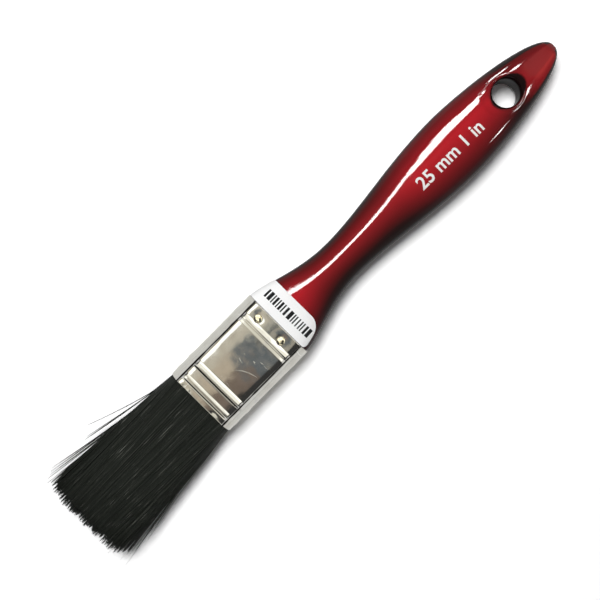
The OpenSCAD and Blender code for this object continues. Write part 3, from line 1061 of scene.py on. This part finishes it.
def make_world():
    """Dim studio surroundings, a little paler at the horizon, plain white behind the floor."""
    world = bpy.data.worlds.new("studio")
    bpy.context.scene.world = world
    world.use_nodes = True
    tree = world.node_tree
    tree.nodes.clear()
    ray = shade_node(tree, "ShaderNodeTexCoord").outputs["Generated"]
    height = shade_node(tree, "ShaderNodeSeparateXYZ", {"Vector": ray}).outputs["Z"]
    total = mix(tree, between(tree, height, 0.35, 0.0), (0.05, 0.05, 0.05), (0.30, 0.30, 0.29))
    total = mix(tree, camera_ray(tree), total, (1.0, 1.0, 1.0))
    background = shade_node(tree, "ShaderNodeBackground", {"Color": total, "Strength": 1.0})
    output = shade_node(tree, "ShaderNodeOutputWorld")
    tree.links.new(background.outputs["Background"], output.inputs["Surface"])


def show_only(holder, seen_in, mirrored):
    """A lamp shows only in reflections or never in them, and only on some pieces if they are given."""
    holder.visible_camera = False
    holder.visible_diffuse = not mirrored
    holder.visible_glossy = mirrored
    if seen_in:
        group = bpy.data.collections.new(holder.name + "_receivers")
        for piece in seen_in:
            group.objects.link(piece)
        holder.light_linking.receiver_collection = group


def area_light(name, width, height, radiance):
    """A rectangular lamp of even radiance, with its sides in metres."""
    lamp = bpy.data.lights.new(name, "AREA")
    lamp.shape = "RECTANGLE"
    lamp.size, lamp.size_y = width, height
    lamp.energy = radiance * math.pi * width * height
    return in_scene(name, lamp)


def level_light(name, start, end, width, colour, seen_in, height=LEVEL_HEIGHT, facing_up=False):
    """A level light from start to end, in millimetres, that shows only in the reflections of seen_in."""
    along = Vector(end) - Vector(start)
    radiance = max(colour)
    holder = area_light(name, along.length * MM, width * MM, radiance)
    holder.data.color = [part / radiance for part in colour]
    middle = (Vector(start) + Vector(end)) / 2
    holder.location = Vector((middle.x, middle.y, height)) * MM
    heading = math.atan2(along.y, along.x)
    holder.rotation_euler = (math.pi if facing_up else 0, 0, heading)
    show_only(holder, seen_in, True)


def soft_light(name, azimuth, tilt, distance, size, radiance, seen_in=None):
    """A broad light aimed at the brush. It only lights, or it only shows in the reflections of seen_in."""
    holder = area_light(name, *size, radiance)
    aim = direction(azimuth, tilt)
    holder.location = aim * distance
    holder.rotation_euler = aim.to_track_quat("Z", "Y").to_euler()
    show_only(holder, seen_in, seen_in is not None)


def make_lights(lacquered, metal, nails):
    """Bright strips for the lacquer to mirror, panels for the metal, and soft light from one side."""
    soft_light("soft_key", 80, 20, 0.9, (0.5, 0.36), 13.0)
    soft_light("soft_fill", 0, 0, 1.0, (1.4, 1.4), 0.20)
    strip = (60.0, 60.0, 60.0)
    level_light("streak_neck", (31, 134), (118, 332), 38, strip, lacquered)
    # Rectangles along the belly: lowest and highest x, lowest and highest y
    streak = [
        (110, 150, 225, 375),
        (150, 205, 232, 452),
        (205, 345, 245, 515),
        (345, 440, 250, 470),
    ]
    for number, (low_x, high_x, low_y, high_y) in enumerate(streak):
        y = (low_y + high_y) / 2
        level_light(f"streak_{number}", (low_x, y), (high_x, y), high_y - low_y, strip, lacquered)
    level_light("streak_to_rim", (450, 480), (600, 720), 24, (14.0, 14.0, 14.0), lacquered)
    level_light("rim", (690, 830), (810, 1060), 110, strip, lacquered)
    level_light("rim_end", (530, 345), (575, 345), 110, strip, lacquered)
    level_light("low_rim", (520, -360), (590, -620), 60, strip, lacquered)
    level_light("low_streak", (500, -890), (560, -840), 130, strip, lacquered)
    # Panels over the metal: lowest and highest x, y of the middle, width and colour
    panels = {
        "flank": (60, 200, 0, 320, (1.3, 1.28, 1.15)),
        "flank_far": (200, 460, 0, 320, (2.4, 2.4, 2.3)),
        "edge": (-190, -10, 132, 95, (2.0, 2.0, 1.9)),
        "cream": (-190, -10, 230, 100, (0.55, 0.50, 0.36)),
        "top": (-300, 20, 62, 38, (0.66, 0.61, 0.50)),
        "beige": (-160, -92, 16, 54, (0.60, 0.51, 0.39)),
        "lip": (-225, -160, 0, 80, (0.22, 0.22, 0.19)),
        "front": (-500, -225, 0, 360, (0.90, 0.87, 0.75)),
        "grey": (-92, -62, -14, 114, (0.11, 0.135, 0.155)),
        "pale_left": (-62, 60, 45, 80, (0.52, 0.50, 0.43)),
        "band": (-58, 60, -3, 16, (0.12, 0.13, 0.13)),
        "pale_right": (-62, 60, -43, 64, (0.44, 0.41, 0.34)),
        "brown": (-160, -92, -40, 58, (0.21, 0.155, 0.12)),
    }
    for name, (low_x, high_x, y, width, colour) in panels.items():
        level_light(f"metal_{name}", (low_x, y), (high_x, y), width, colour, metal)
    pale = (0.42, 0.42, 0.40)
    for side in (1, -1):
        level_light("metal_side", (-300, 360 * side), (200, 360 * side), 700, pale, metal, 1, True)
        soft_light("metal_wall", 90 * side, 85, 1.2, (1.1, 0.34), 0.62, metal)
    for azimuth in (45, 135, 225, 315):
        soft_light(f"metal_corner_{azimuth}", azimuth, 55, 0.9, (0.72, 0.9), 0.75, metal)
    level_light("nail_top", (-260, 500), (1400, 500), 1260, (1.5, 1.45, 1.2), nails)
    level_light("nail_right", (260, -700), (1400, -700), 1100, (1.5, 1.45, 1.2), nails)
    level_light("nail_left", (-900, -500), (-260, -500), 700, (1.0, 0.95, 0.8), nails)


def make_camera():
    """Straight above the brush, turned so that the brush lies along the picture's diagonal."""
    lens = bpy.data.cameras.new("camera")
    lens.lens = 52.4
    lens.sensor_width = 36
    camera = in_scene("camera", lens)
    aim_x, aim_y, height, roll = -7.6, 0.35, 280.0, -45.3
    camera.location = (aim_x * MM, aim_y * MM, (MID_Z + height) * MM)
    camera.rotation_euler = (0, 0, math.radians(roll))
    bpy.context.scene.camera = camera


# ---- the brush ----

make_camera()
make_floor()
make_world()
bpy.context.scene.view_settings.view_transform = "Standard"

lacquered_pieces = [make_handle(lacquer())]
make_size_mark(ink("white_ink", (0.72, 0.70, 0.69), (0.88, 0.87, 0.86), 0.3))
tin_plate = plate()
metal_pieces = [make_ferrule(tin_plate), make_scratches(tin_plate)]
nail_metal = brass()
nail_pieces = [make_nail(node_name, nail_metal) for node_name in FRONT_NAILS + BACK_NAILS]
make_lights(lacquered_pieces, metal_pieces, nail_pieces)
make_label(paper())
make_label_bars(ink("black_ink", (0.030, 0.030, 0.032), (0.012, 0.012, 0.013), 0.45))

black = bristle("black_bristle", 1.0)
make_core(black)
make_bank("front_bristle_hairs", "front_bristles", True, black)
make_bank("back_bristle_hairs", "back_bristles", False, black)
make_strays(bristle("loose_bristle", 1.3))

set_bristle = inner("set_bristle", (0.004, 0.004, 0.004), (0.018, 0.018, 0.016), (60, 5200, 5200), 0.4)
inner_looks = {
    "bristle_setting": inner("resin", (0.30, 0.17, 0.04), (0.52, 0.34, 0.12), (300, 300, 300), 0.28),
    "filler_strip": inner("filler_wood", (0.38, 0.25, 0.13), (0.62, 0.46, 0.28), (80, 900, 900), 0.55),
    "front_bristle_roots": set_bristle,
    "back_bristle_roots": set_bristle,
}
for node_name, look in inner_looks.items():
    node_mesh = frame["nodes"][node_name].data
    node_mesh.materials.clear()
    node_mesh.materials.append(look)
